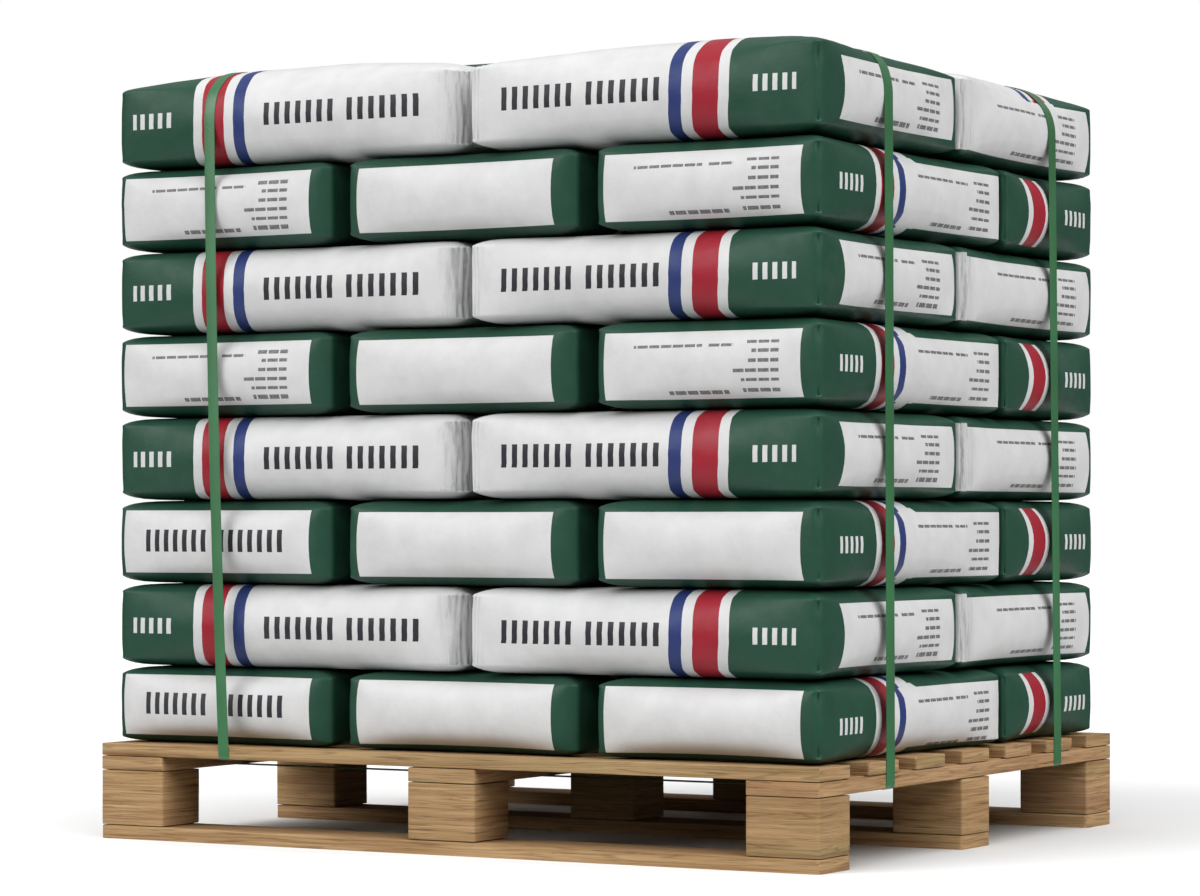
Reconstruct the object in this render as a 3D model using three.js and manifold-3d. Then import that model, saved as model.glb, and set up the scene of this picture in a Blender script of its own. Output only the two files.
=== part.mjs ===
// A loaded pallet: eight layers of five filled paper sacks on a four-way wooden pallet,
// with three taut plastic straps around sacks and deck.
// Millimetres, +Z up, +X along the long side of the pallet, the front at -Y.
// The origin is on the floor under the centre of the pallet.

import * as THREE from 'three';
import Module from 'manifold-3d';

const wasm = await Module();
wasm.setup();

// Pallet: bottom boards along X, blocks, stringer boards along Y, deck boards along X
const PALLET_LENGTH = 1200;
const PALLET_WIDTH = 1000;
const BOARD_WIDTH = 94;
const BLOCK_LENGTH = 113;
const BOTTOM_BOARD_THICKNESS = 20;
const BLOCK_HEIGHT = 83;
const STRINGER_THICKNESS = 21;
const DECK_THICKNESS = 18;
const DECK_BOARD_COUNT = 7;

const BLOCK_BASE = BOTTOM_BOARD_THICKNESS;
const STRINGER_BASE = BLOCK_BASE + BLOCK_HEIGHT;
const DECK_BASE = STRINGER_BASE + STRINGER_THICKNESS;
const DECK_TOP = DECK_BASE + DECK_THICKNESS;
const END_BLOCK_X = (PALLET_LENGTH - BLOCK_LENGTH) / 2;
const END_BOARD_Y = (PALLET_WIDTH - BOARD_WIDTH) / 2;
const COLUMNS = [['left', -END_BLOCK_X], ['middle', 0], ['right', END_BLOCK_X]];
const ROWS = [['front', -END_BOARD_Y], ['middle', 0], ['back', END_BOARD_Y]];

// Stack: the rows and gaps of the sacks, measured at their upright corner creases
const LAYER_COUNT = 8;
const FIRST_LAYER_HEIGHT = 114;
const LAYER_PITCH = 123.7;
const STACK_LEFT = -584;
const STACK_RIGHT = 585;
const STACK_FRONT = -464;
const STACK_BACK = 459;
const ROW_GAP = 15;
const DEEP_FRONT_ROW_END = 125;
const SHALLOW_FRONT_ROW_END = -30;
const THREE_ACROSS = [[STACK_LEFT, -216], [-176, 198], [240, STACK_RIGHT]];
const TWO_ACROSS_FRONT = [[STACK_LEFT, 13], [30, STACK_RIGHT]];
const TWO_ACROSS_BACK = [[STACK_LEFT, -8], [9, STACK_RIGHT]];

// Form of a filled sack: it lies flat on its neighbours above and below, its rim slopes
// away from them to the creases, and its sides swell between the upright creases
const CREASE_DROP = 11;
const FIRST_CREASE_DROP = 6;
const CREASE_DROP_MIDDLE = 0.45;
const CREASE_SWELL = 0.4;
const RIM_WIDTH = 24;
const FRONT_SWELL = 14;
const SIDE_SWELL = 8;
const NEIGHBOUR_PRESS = 1.5;
const CROWN_HEIGHT = 16;
const CROWN_RIM_WIDTH = 100;
const CROWN_RIM_HEIGHT = 0.8;
const SIDE_STEPS = [0, 0.25, 0.5, 0.75];

// Straps: one from front to back that leans, two from left to right
const STRAP_WIDTH = 20;
const STRAP_THICKNESS = 1;
const STRAP_GAP = 0.3;
const STRAP_TOP_GAP = 0.8;
const CROSSING_LIFT = 2.6;
const LEANING_STRAP_TOP_X = -415;
const LEANING_STRAP_DECK_X = -376;
const FRONT_ACROSS_STRAP_Y = -290;
const BACK_ACROSS_STRAP_Y = 281;

const WOOD = new THREE.MeshStandardMaterial({ color: 0xaa8c64, roughness: 0.85, metalness: 0 });
const PAPER = new THREE.MeshStandardMaterial({ color: 0xdcdcda, roughness: 0.65, metalness: 0 });
const STRAP = new THREE.MeshStandardMaterial({ color: 0x4b8a5c, roughness: 0.4, metalness: 0 });

const model = new THREE.Group();

function addNode(name, geometry, material, x = 0, y = 0, z = 0) {
  const mesh = new THREE.Mesh(geometry, material);
  mesh.name = name;
  mesh.position.set(x, y, z);
  model.add(mesh);
}

function addTimber(name, length, width, height, x, y, base) {
  addNode(name, new THREE.BoxGeometry(length, width, height), WOOD, x, y, base + height / 2);
}

function addPallet() {
  for (const [row, y] of ROWS) {
    const name = `bottom_board_${row}`;
    addTimber(name, PALLET_LENGTH, BOARD_WIDTH, BOTTOM_BOARD_THICKNESS, 0, y, 0);
    for (const [column, x] of COLUMNS) {
      const block = `block_${row}_${column}`;
      addTimber(block, BLOCK_LENGTH, BOARD_WIDTH, BLOCK_HEIGHT, x, y, BLOCK_BASE);
    }
  }
  for (const [column, x] of COLUMNS) {
    const name = `stringer_board_${column}`;
    addTimber(name, BLOCK_LENGTH, PALLET_WIDTH, STRINGER_THICKNESS, x, 0, STRINGER_BASE);
  }
  const pitch = (2 * END_BOARD_Y) / (DECK_BOARD_COUNT - 1);
  for (let i = 0; i < DECK_BOARD_COUNT; i += 1) {
    const y = -END_BOARD_Y + i * pitch;
    addTimber(`deck_board_${i + 1}`, PALLET_LENGTH, BOARD_WIDTH, DECK_THICKNESS, 0, y, DECK_BASE);
  }
}

// One closed outline of the sack at a level. Every side is moved in by inset and swells by
// its own swell times share. The level's height may dip towards the corners.
function sackRing(sack, { inset, share, height, cornerHeight }) {
  const left = sack.x[0] + inset;
  const right = sack.x[1] - inset;
  const front = sack.y[0] + inset;
  const back = sack.y[1] - inset;
  const sides = [
    { from: [left, front], to: [right, front], out: [0, -sack.swell.front] },
    { from: [right, front], to: [right, back], out: [sack.swell.right, 0] },
    { from: [right, back], to: [left, back], out: [0, sack.swell.back] },
    { from: [left, back], to: [left, front], out: [-sack.swell.left, 0] },
  ];
  const points = [];
  for (const { from, to, out } of sides) {
    for (const t of SIDE_STEPS) {
      const arch = 4 * t * (1 - t);
      const x = from[0] + (to[0] - from[0]) * t + out[0] * share * arch;
      const y = from[1] + (to[1] - from[1]) * t + out[1] * share * arch;
      const z = cornerHeight + (height - cornerHeight) * arch;
      points.push(new THREE.Vector3(x, y, z));
    }
  }
  return points;
}

function sackRings(sack) {
  const [base, top] = sack.z;
  const lowDrop = sack.first ? FIRST_CREASE_DROP : CREASE_DROP;
  const middle = (base + top) / 2;
  const flat = (height, inset) => ({ inset, share: 0.2, height, cornerHeight: height });
  const crease = (corner, height) => ({ inset: 0, share: CREASE_SWELL, height, cornerHeight: corner });
  const levels = [
    flat(base, RIM_WIDTH),
    crease(base + lowDrop, base + lowDrop * CREASE_DROP_MIDDLE),
    { inset: 0, share: 1, height: middle, cornerHeight: middle },
    crease(top - CREASE_DROP, top - CREASE_DROP * CREASE_DROP_MIDDLE),
    flat(top, RIM_WIDTH),
  ];
  if (sack.last) {
    levels.push(flat(top + CROWN_HEIGHT * CROWN_RIM_HEIGHT, CROWN_RIM_WIDTH));
  }
  return levels.map((level) => sackRing(sack, level));
}

// The rings joined into one closed skin, with a point in the middle of each end
function sackSolid(sack) {
  const rings = sackRings(sack);
  const count = rings[0].length;
  const points = rings.flat();
  const triangles = [];
  for (let level = 0; level + 1 < rings.length; level += 1) {
    for (let i = 0; i < count; i += 1) {
      const next = (i + 1) % count;
      const a = level * count + i;
      const b = level * count + next;
      triangles.push(a, b, b + count, a, b + count, a + count);
    }
  }
  const centreX = (sack.x[0] + sack.x[1]) / 2;
  const centreY = (sack.y[0] + sack.y[1]) / 2;
  const peak = sack.z[1] + (sack.last ? CROWN_HEIGHT : 0);
  const bottom = points.push(new THREE.Vector3(centreX, centreY, sack.z[0])) - 1;
  const top = points.push(new THREE.Vector3(centreX, centreY, peak)) - 1;
  const lastRing = (rings.length - 1) * count;
  for (let i = 0; i < count; i += 1) {
    const next = (i + 1) % count;
    triangles.push(bottom, next, i);
    triangles.push(top, lastRing + i, lastRing + next);
  }
  return new wasm.Manifold(new wasm.Mesh({
    numProp: 3,
    vertProperties: new Float32Array(points.flatMap((point) => point.toArray())),
    triVerts: new Uint32Array(triangles),
  }));
}

// Half of each gap, and a little more, so that neighbours press together at mid-height
function pressInto(gap) {
  return gap / 2 + NEIGHBOUR_PRESS;
}

function rowOfSacks(spans, y, frontSwell, backSwell) {
  return spans.map((x, i) => {
    const leftGap = i > 0 ? x[0] - spans[i - 1][1] : null;
    const rightGap = i + 1 < spans.length ? spans[i + 1][0] - x[1] : null;
    const swell = {
      front: frontSwell,
      back: backSwell,
      left: leftGap === null ? SIDE_SWELL : pressInto(leftGap),
      right: rightGap === null ? SIDE_SWELL : pressInto(rightGap),
    };
    return { x, y, swell };
  });
}

function layerSacks(number) {
  const deepFrontRow = number % 2 === 1;
  const frontEnd = deepFrontRow ? DEEP_FRONT_ROW_END : SHALLOW_FRONT_ROW_END;
  const frontSpans = deepFrontRow ? THREE_ACROSS : TWO_ACROSS_FRONT;
  const backSpans = deepFrontRow ? TWO_ACROSS_BACK : THREE_ACROSS;
  const middleSwell = pressInto(ROW_GAP);
  const base = number === 1 ? DECK_TOP : DECK_TOP + FIRST_LAYER_HEIGHT + (number - 2) * LAYER_PITCH;
  const top = DECK_TOP + FIRST_LAYER_HEIGHT + (number - 1) * LAYER_PITCH;
  const sacks = [
    ...rowOfSacks(frontSpans, [STACK_FRONT, frontEnd], FRONT_SWELL, middleSwell),
    ...rowOfSacks(backSpans, [frontEnd + ROW_GAP, STACK_BACK], middleSwell, FRONT_SWELL),
  ];
  const first = number === 1;
  const last = number === LAYER_COUNT;
  return sacks.map((sack) => ({ ...sack, z: [base, top], first, last }));
}

// The five sacks of a layer press against each other at mid-height, and the gaps between
// them stay open at the creases, above and below
function addSackLayers() {
  for (let number = 1; number <= LAYER_COUNT; number += 1) {
    const solids = layerSacks(number).map(sackSolid);
    const layer = solids.reduce((joined, solid) => joined.add(solid));
    const { vertProperties, triVerts } = layer.getMesh();
    const geometry = new THREE.BufferGeometry();
    geometry.setAttribute('position', new THREE.BufferAttribute(vertProperties, 3));
    geometry.setIndex(new THREE.BufferAttribute(triVerts, 1));
    geometry.computeVertexNormals();
    addNode(`sack_layer_${number}`, geometry, PAPER);
  }
}

// Half of a loop seen along its band, from under the pallet up to the top of the stack.
// Across is the distance from the upright axis of the stack, with its sign for the side.
function loopSide({ sign, palletEdge, tuckHeight, face, swell, crownMiddle, lift }) {
  const topBase = DECK_TOP + FIRST_LAYER_HEIGHT + (LAYER_COUNT - 2) * LAYER_PITCH;
  const topHeight = topBase + LAYER_PITCH;
  const outside = sign * STRAP_TOP_GAP;
  return [
    [sign * (palletEdge + STRAP_GAP), tuckHeight - STRAP_GAP],
    [sign * (palletEdge + STRAP_GAP), DECK_TOP + STRAP_GAP],
    [face + sign * swell + outside, (topBase + topHeight) / 2],
    [face + sign * swell * CREASE_SWELL + outside, topHeight - CREASE_DROP * CREASE_DROP_MIDDLE],
    [face - sign * RIM_WIDTH + outside, topHeight + STRAP_TOP_GAP + lift],
    [face - sign * CROWN_RIM_WIDTH, topHeight + CROWN_HEIGHT * CROWN_RIM_HEIGHT + STRAP_TOP_GAP + lift],
    [crownMiddle, topHeight + CROWN_HEIGHT + STRAP_TOP_GAP + lift],
  ];
}

// The same outline moved out by the strap's thickness: each point goes along the
// bisector of its two edges
function offsetOutline(points, distance) {
  const outline = points.map(([u, v]) => new THREE.Vector2(u, v));
  return outline.map((point, i) => {
    const before = outline[(i + outline.length - 1) % outline.length];
    const after = outline[(i + 1) % outline.length];
    const inward = point.clone().sub(before).normalize();
    const onward = after.clone().sub(point).normalize();
    const normalIn = new THREE.Vector2(inward.y, -inward.x);
    const normalOn = new THREE.Vector2(onward.y, -onward.x);
    const bisector = normalIn.add(normalOn).normalize();
    const reach = distance / bisector.dot(normalOn);
    return point.clone().addScaledVector(bisector, reach);
  });
}

// A strap as a closed band: the inner outline goes up the positive side, over the top and
// down the negative side, so its outside is on the right of its direction
function strapBand(positiveSide, negativeSide) {
  const inner = [...positiveSide, ...negativeSide.slice().reverse()];
  const band = new THREE.Shape(offsetOutline(inner, STRAP_THICKNESS));
  band.holes.push(new THREE.Path(inner.map(([u, v]) => new THREE.Vector2(u, v))));
  const geometry = new THREE.ExtrudeGeometry(band, { depth: STRAP_WIDTH, bevelEnabled: false });
  geometry.translate(0, 0, -STRAP_WIDTH / 2);
  return geometry;
}

function middleOf([low, high]) {
  return (low + high) / 2;
}

// The band's outline turns from XY into YZ, and its height leans it along X
function addLeaningStrap() {
  const shared = { palletEdge: PALLET_WIDTH / 2, tuckHeight: DECK_BASE, swell: FRONT_SWELL };
  const frontMiddle = middleOf([STACK_FRONT, SHALLOW_FRONT_ROW_END]);
  const backMiddle = middleOf([SHALLOW_FRONT_ROW_END + ROW_GAP, STACK_BACK]);
  const lift = CROSSING_LIFT;
  const geometry = strapBand(
    loopSide({ ...shared, sign: 1, face: STACK_BACK, crownMiddle: backMiddle, lift }),
    loopSide({ ...shared, sign: -1, face: STACK_FRONT, crownMiddle: frontMiddle, lift }),
  );
  geometry.applyMatrix4(new THREE.Matrix4().makeBasis(
    new THREE.Vector3(0, 1, 0),
    new THREE.Vector3(0, 0, 1),
    new THREE.Vector3(1, 0, 0),
  ));
  const stackTop = DECK_TOP + FIRST_LAYER_HEIGHT + (LAYER_COUNT - 1) * LAYER_PITCH;
  const lean = (LEANING_STRAP_TOP_X - LEANING_STRAP_DECK_X) / (stackTop - DECK_TOP);
  geometry.translate(0, 0, -stackTop);
  geometry.applyMatrix4(new THREE.Matrix4().makeShear(0, 0, 0, 0, lean, 0));
  addNode('strap_front_to_back', geometry, STRAP, LEANING_STRAP_TOP_X, 0, stackTop);
}

function addAcrossStrap(name, y, spans) {
  const shared = { palletEdge: PALLET_LENGTH / 2, tuckHeight: STRINGER_BASE, swell: SIDE_SWELL };
  const rightMiddle = middleOf(spans[spans.length - 1]);
  const leftMiddle = middleOf(spans[0]);
  const geometry = strapBand(
    loopSide({ ...shared, sign: 1, face: STACK_RIGHT, crownMiddle: rightMiddle, lift: 0 }),
    loopSide({ ...shared, sign: -1, face: STACK_LEFT, crownMiddle: leftMiddle, lift: 0 }),
  );
  geometry.rotateX(Math.PI / 2);
  addNode(name, geometry, STRAP, 0, y, 0);
}

addPallet();
addSackLayers();
addLeaningStrap();
addAcrossStrap('strap_across_front', FRONT_ACROSS_STRAP_Y, TWO_ACROSS_FRONT);
addAcrossStrap('strap_across_back', BACK_ACROSS_STRAP_Y, THREE_ACROSS);

export default model;
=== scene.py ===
# A loaded pallet: filled paper sacks on a wooden pallet, with three plastic straps.
# Lengths are in millimetres and are turned into metres where a mesh is made.

import math

import bmesh
import bpy
import numpy as np
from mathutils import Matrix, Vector, noise


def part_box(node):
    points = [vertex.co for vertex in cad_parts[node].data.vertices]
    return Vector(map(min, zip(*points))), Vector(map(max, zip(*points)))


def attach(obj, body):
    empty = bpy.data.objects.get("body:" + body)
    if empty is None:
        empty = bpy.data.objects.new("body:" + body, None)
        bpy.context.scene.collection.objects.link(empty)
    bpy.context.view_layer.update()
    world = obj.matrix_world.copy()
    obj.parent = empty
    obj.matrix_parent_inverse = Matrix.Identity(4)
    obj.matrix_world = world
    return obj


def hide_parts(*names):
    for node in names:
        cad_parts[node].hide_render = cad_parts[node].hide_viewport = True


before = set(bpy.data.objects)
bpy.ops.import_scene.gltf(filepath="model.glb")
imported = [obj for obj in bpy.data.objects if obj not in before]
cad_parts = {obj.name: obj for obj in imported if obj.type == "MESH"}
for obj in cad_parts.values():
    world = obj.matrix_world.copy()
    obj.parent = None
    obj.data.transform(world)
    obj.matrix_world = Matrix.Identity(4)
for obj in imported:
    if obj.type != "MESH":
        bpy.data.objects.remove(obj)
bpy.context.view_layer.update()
MM = 0.001

# Camera, fitted to the corners of the pallet in the photograph. Its place is in metres.
IMAGE_WIDTH = 1200
IMAGE_HEIGHT = 896
CAMERA_PLACE = (2.942, -5.105, 0.477)
CAMERA_YAW = math.radians(30.21)
CAMERA_PITCH = math.radians(-0.197)
FOCAL_PIXELS = 3864
HORIZON_CENTRE_ROW = 531.4
SENSOR_WIDTH = 36

# Light: direction, strength and spread of each broad light
KEY = ((-0.5, -0.85, 0.6), 1.83, math.radians(46))
FILL = ((0.95, -0.3, 1.0), 2.8, math.radians(50))
FLOOR_LIGHT = ((0.3, -0.4, 1.0), 2.3, math.radians(90))
# Strength of the ambient light by the height of its direction, from straight down to straight up
AMBIENT = ((-1, 1.25), (-0.45, 1.15), (-0.22, 0.16), (0.1, 0.1), (0.4, 0.3), (1, 0.75))
# Floors: sizes in metres, and how far the one under the pallet is raised
FLOOR_SIZE = (60, 60)
UNDERLAY_SIZE = (1.3, 1.1)
UNDERLAY_LIFT = 0.3

# Stack: rows and gaps at the upright corner creases. They are those of the solids, but the left
# edges of the middle and right sacks in a row of three lie 4 to 5 mm further left.
LAYER_COUNT = 8
STACK_LEFT = -589
STACK_RIGHT = 581
STACK_FRONT = -464
STACK_BACK = 462
ROW_GAP = 15
DEEP_FRONT_ROW_END = 125
SHALLOW_FRONT_ROW_END = -30
THREE_ACROSS = ((STACK_LEFT, -216), (-180, 198), (235, STACK_RIGHT))
TWO_ACROSS_FRONT = ((STACK_LEFT, 11), (30, STACK_RIGHT))
TWO_ACROSS_BACK = ((STACK_LEFT, -8), (9, STACK_RIGHT))

# Form of a filled sack
CELL = 32
UPRIGHT_CELL = 25.6
EDGE_LINES = (4, 11, 22)
TAIL_LINES = (2.5, 5, 7.5, 10, 13, 16, 22)
# Fall of the level faces within a rim, at the corners and in the middle of the edges
RIM = {"rim": 32, "corner": 12, "middle": 12}
FIRST_LAYER_RIM = {"rim": 32, "corner": 9, "middle": 11}
CROWN_SIDE = {"rim": 50, "corner": 8, "middle": 23}
CROWN_END = {"rim": 60, "corner": 8, "middle": 9}
EDGE_INSET = 13
CORNER_REACH = 4.5
LONG_SIDE_POWER = 2.6
LENGTHWAYS_END_POWER = 2.6
END_ON_END_POWER = 3.6
ARCH_POWER = 2.6
ARCH_SOFTNESS = 1.4
INNER_SOFTNESS = 3
FRONT_SWELL = 14
SIDE_SWELL = 9.5
# Distance from a sack at mid-height to the middle of a gap
TOUCH_GAP = 0.4
# Rounding at an upright corner: reach along the face, and depth
HEAD_ROUND = (20, 3.5)
INNER_ROUND = (38, 14)
TAIL_ROUND = (30, 6)
LENGTHWAYS_TAIL_ROUNDS = {"left": (52, 32), "right": (10, 1)}
ROUND_POWER = 2.6
CROWN_POWER = 2.4
CROSS_CROWN = 6
CROSS_CROWN_POWER = 3.5
# Height of the crown, and how much more it stands at the right and at the back
CROWNS = {"front_left": (17, 0, 0), "front_right": (12, 7, -10), "back": (11, 0, -4)}
LUMP_HEIGHT = 1.3
LUMP_SIZE = 95
CREASE_HEIGHT = 0.9
CREASE_SIZE = 55
CREASE_SHARPNESS = 6
CREASE_PATCH_SIZE = 160
SACK_SEED_STEPS = (3.1, 1.7, 0.9)
PLEAT_DEPTH = 4.5
PLEAT_PITCH = 6
PLEAT_DRIFT = 3
PLEAT_DRIFT_HEIGHT = 45
PLEAT_REACH = 26
PLEAT_MIDDLE = 0.3
INNER_DIP = 9
INNER_DIP_PLACE = 28
INNER_DIP_REACH = 20
EAR_DEPTH = 2
NEAR_EAR_DEPTH = 4.5
EAR_SIZE = (5, 12)
EAR_BELOW_EDGE = 17
CORNER_CREASE_DEPTH = 2
CORNER_CREASE_WIDTH = 3
CORNER_FOLD_REACH = 40

# Print, measured along a face from the head end of the sack and up from its base
HEAD_LENGTHS = {"left": 141, "right": 133}
STRIPES = (("white", 16), ("red", 40), ("white", 17), ("blue", 20))
FULL_HEIGHT = 123.7
PRINT_MIDDLE = 61
TOP_LAYER_PRINT_RISES = {"title": 8, "panel": 4}
LEFT_PANEL_RISE = 3
FIRST_LAYER_PANEL_RISE = 6
PANEL = (13, 106)
RIGHT_PANEL = (17, 105)
PANEL_LENGTH = 335
PANEL_BOW = -4
RIGHT_PANEL_BOW = 8
PANEL_MARGINS = {"left": (13, 24), "middle": (20, 29), "right": (16, 19)}
RIGHT_END_MARGINS = (57, 23)
PANEL_TITLE_LAYERS = (1, 3)
SMALL_PRINT_LAYERS = (2, 5, 6, 7)
TITLE_SPANS = {"left": (269, 534), "right": (241, 498), "panel": (39.53, 284.75)}
TITLE_HEIGHT = 33
TITLE_WORD_GAP = 24
TITLE_WORD_BARS = 7
# How far the stripes of a title side are moved along it at its top and bottom edges
TITLE_SHIFTS = {"left": (8, 9), "right": (-5, -11)}
MARK_SPANS = {"left": (24, 99), "right": (31, 97), "long": (53, 120), "banded": (205, 287)}
MARK_HEIGHT = 23
MARK_BARS = 5
LEVEL_STRIP_START = 262
LONG_SIDE_HEAD = 160
LONG_SIDE_BOW = -16
LONG_SIDE_LEVEL_HEAD = 171
LONG_SIDE_PANEL = (253, 582)
LONG_SIDE_PRINT_START = 250
# Where the green strips start at mid-panel, and how much earlier for each millimetre above or below
LONG_SIDE_STRIPS_START = 382
LONG_SIDE_STRIPS_SLANT = 1.4
TAIL_STRIP_START = 16
TOP_TAIL_STRIP_START = 350
TOP_TAIL_STRIPES_START = 254
TAIL_PANEL_END = 449
TAIL_PRINT = (55, 400)
PANEL_END_BOWS = {"long": 6, "tail": 12}
# Small print: row height, pitch and share of the dashes, and the wave that groups them
SMALL_PRINT_HEIGHT = 5
DASH_PITCH = 1.9
DASH_SHARE = 0.78
WORD_WAVE = 0.31
WORD_WAVE_CUT = -0.93
PAPER_GLOSS = 0.2
PAPER_ROUGHNESS = (0.34, 0.5)
# Painted shade at the white tail of a sack: how grey it gets at the end, and how far in it reaches
TAIL_SHADE = 0.8
TAIL_SHADE_REACH = 48
BAND_START = 72
BAND = (("white", 16), ("red", 43), ("white", 14))
BAND_BOW = 10
TOP_STRIPES = (("blue", 18), ("white", 8), ("red", 28), ("white", 10))

# Timbers
CORNER_RADIUS = 4
BOTTOM_CORNER_RADIUS = 6
EDGE_BEVEL = 1.3
JOINT_GAP = 1.1
JOINT_DEPTH = 9
# A timber is cut into cells, which are longer along a long side
LONG_TIMBER = 300
LONG_CELL = 60
SHORT_CELL = 25
# Wear, only along the sides that are shorter than WORN_SECTION
WEAR = 0.5
WEAR_SIZE = 60
WORN_SECTION = 200
TIMBER_SEED_STEPS = (5.3, 2.1, 7.7)
TIMBER_TONE_STEP = 0.618
TIMBER_SHARP_ANGLE = math.radians(40)

# Straps
STRAP_WIDTH = 18
ACROSS_STRAP_WIDTH = 26
STRAP_THICKNESS = 0.9
# Width and fall of a strap's softened edges
STRAP_EDGE = (0.8, 0.15)
STRAP_STEP = 12
STRAP_BEND_RADIUS = 5
STRAP_CLEARANCE = 0.35
STRAP_SHARP_ANGLE = math.radians(50)
# Share of a strap's width within which the points of the sacks carry it
STRAP_REACH_SHARE = 0.7
CROSSING_LIFT = 2.4
LEANING_STRAP_BOW = 5
# Places of the straps at the top of the stack and at the deck
LEANING_STRAP_X = (-420, -376)
ACROSS_STRAPS = {"strap_across_front": (-269, -285), "strap_across_back": (292, 291)}

OPPOSITE = {"left": "right", "right": "left", "front": "back", "back": "front"}
# The side at which the measuring along a face starts
FACE_STARTS = {"front": "left", "right": "front", "back": "right", "left": "back"}


def linear(hex_colour):
    """A colour as the screen shows it, turned into the linear one that a shader takes."""
    channels = [int(hex_colour[i:i + 2], 16) / 255 for i in (0, 2, 4)]
    return tuple(c / 12.92 if c <= 0.04045 else ((c + 0.055) / 1.055) ** 2.4 for c in channels) + (1,)


INKS = {
    "green": linear("244839"),
    "white": linear("cccccc"),
    "red": linear("96222f"),
    "blue": linear("2a386c"),
    "black": linear("2e2e33"),
    # Grey of the painted shade at the tails of the sacks
    "painted_shade_grey": linear("5c5c60"),
}


def new_object(name, data):
    """An object with this data, linked to the scene."""
    made = bpy.data.objects.new(name, data)
    bpy.context.scene.collection.objects.link(made)
    return made


class Shader:
    """Node tree of a material or world, with short calls for the nodes that are used here."""

    def __init__(self, name, owners="materials", surface="Principled BSDF"):
        self.owner = getattr(bpy.data, owners).new(name)
        self.owner.use_nodes = True
        self.nodes = self.owner.node_tree.nodes
        self.links = self.owner.node_tree.links
        self.surface = self.nodes[surface]

    def add(self, kind, values=(), **settings):
        node = self.nodes.new(kind)
        for key, value in settings.items():
            setattr(node, key, value)
        for key, value in dict(values).items():
            self.set(node.inputs[key], value)
        return node

    def set(self, socket, value):
        if isinstance(value, bpy.types.NodeSocket):
            self.links.new(value, socket)
        else:
            socket.default_value = value

    def math(self, operation, *values):
        return self.add("ShaderNodeMath", enumerate(values), operation=operation).outputs[0]

    def times(self, first, second):
        return self.math("MULTIPLY", first, second)

    def minus(self, first, second):
        return self.math("SUBTRACT", first, second)

    def above(self, value, limit):
        """1 where value is over limit."""
        return self.math("GREATER_THAN", value, limit)

    def within(self, value, low, high):
        """1 where value lies between low and high."""
        return self.math("COMPARE", value, (low + high) / 2, (high - low) / 2)

    def mix(self, factor, first, second):
        values = {0: factor, 6: first, 7: second}
        return self.add("ShaderNodeMix", values, data_type="RGBA").outputs[2]

    def noise(self, vector, scale, detail, roughness=0.5):
        values = {"Vector": vector, "Scale": scale, "Detail": detail, "Roughness": roughness}
        return self.add("ShaderNodeTexNoise", values).outputs[0]

    def ramp(self, value, low, high, bottom=0.0, top=1.0):
        values = {0: value, 1: low, 2: high, 3: bottom, 4: top}
        return self.add("ShaderNodeMapRange", values).outputs[0]

    def scaled(self, vector, scale):
        values = {"Vector": vector, "Scale": scale}
        return self.add("ShaderNodeMapping", values).outputs[0]

    def bump(self, height, distance, strength, **lower):
        """A bump, over a lower one that is given as Normal."""
        values = {"Height": height, "Distance": distance, "Strength": strength, **lower}
        return self.add("ShaderNodeBump", values).outputs[0]

    def toned(self, colour, value):
        return self.add("ShaderNodeHueSaturation", {"Color": colour, "Value": value}).outputs[0]

    def place(self):
        return self.add("ShaderNodeTexCoord").outputs["Object"]

    def finish(self, values):
        """Set inputs of the surface shader, and give back the material or world."""
        for key, value in values.items():
            self.set(self.surface.inputs[key], value)
        return self.owner


def paint_rect(shader, colour, ink, s, h, rect):
    """One printed rectangle, (low s, high s, low h, high h), over the colour so far."""
    mask = shader.times(shader.within(s, *rect[:2]), shader.within(h, *rect[2:]))
    return shader.mix(mask, colour, INKS[ink])


def paint_bars(shader, colour, ink, s, h, rect, count, share=0.5):
    """A row of upright bars that fills a rectangle from end to end."""
    mask = shader.times(shader.within(s, *rect[:2]), shader.within(h, *rect[2:]))
    pitch = (rect[1] - rect[0]) / (count - 1 + share)
    step = shader.math("FRACT", shader.math("DIVIDE", shader.minus(s, rect[0]), pitch))
    bar = shader.math("LESS_THAN", step, share)
    return shader.mix(shader.times(mask, bar), colour, INKS[ink])


def paint_stripes(shader, colour, s, start, stripes):
    for ink, width in stripes:
        colour = shader.mix(shader.within(s, start, start + width), colour, INKS[ink])
        start += width
    return colour


def small_print_rows(low, high, length):
    """Thin rows: a long one at the upper left, six short ones at the right, one at the bottom."""
    height = high - low
    rows = [(0.15, 0.50, 0.79), (0.53, 0.655, 0.79), (0.32, 0.62, 0.09)]
    starts = (0.72, 0.745, 0.73, 0.655, 0.69, 0.69)
    for i, start in enumerate(starts):
        rows.append((start, 0.875, 0.84 - i * 0.146))
    return [(a * length, b * length, low + c * height) for a, b, c in rows]


def paint_small_print(shader, colour, s, h, start, length, panel):
    """Thin rows of short dashes in groups."""
    half = SMALL_PRINT_HEIGHT / 2
    groups = shader.above(shader.math("SINE", shader.times(s, WORD_WAVE)), WORD_WAVE_CUT)
    step = shader.math("FRACT", shader.math("DIVIDE", s, DASH_PITCH))
    pattern = shader.times(groups, shader.math("LESS_THAN", step, DASH_SHARE))
    for a, b, row in small_print_rows(*panel, length):
        along = shader.within(s, start + a, start + b)
        inside = shader.times(along, shader.within(h, row - half, row + half))
        colour = shader.mix(shader.times(inside, pattern), colour, INKS["black"])
    return colour


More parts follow.
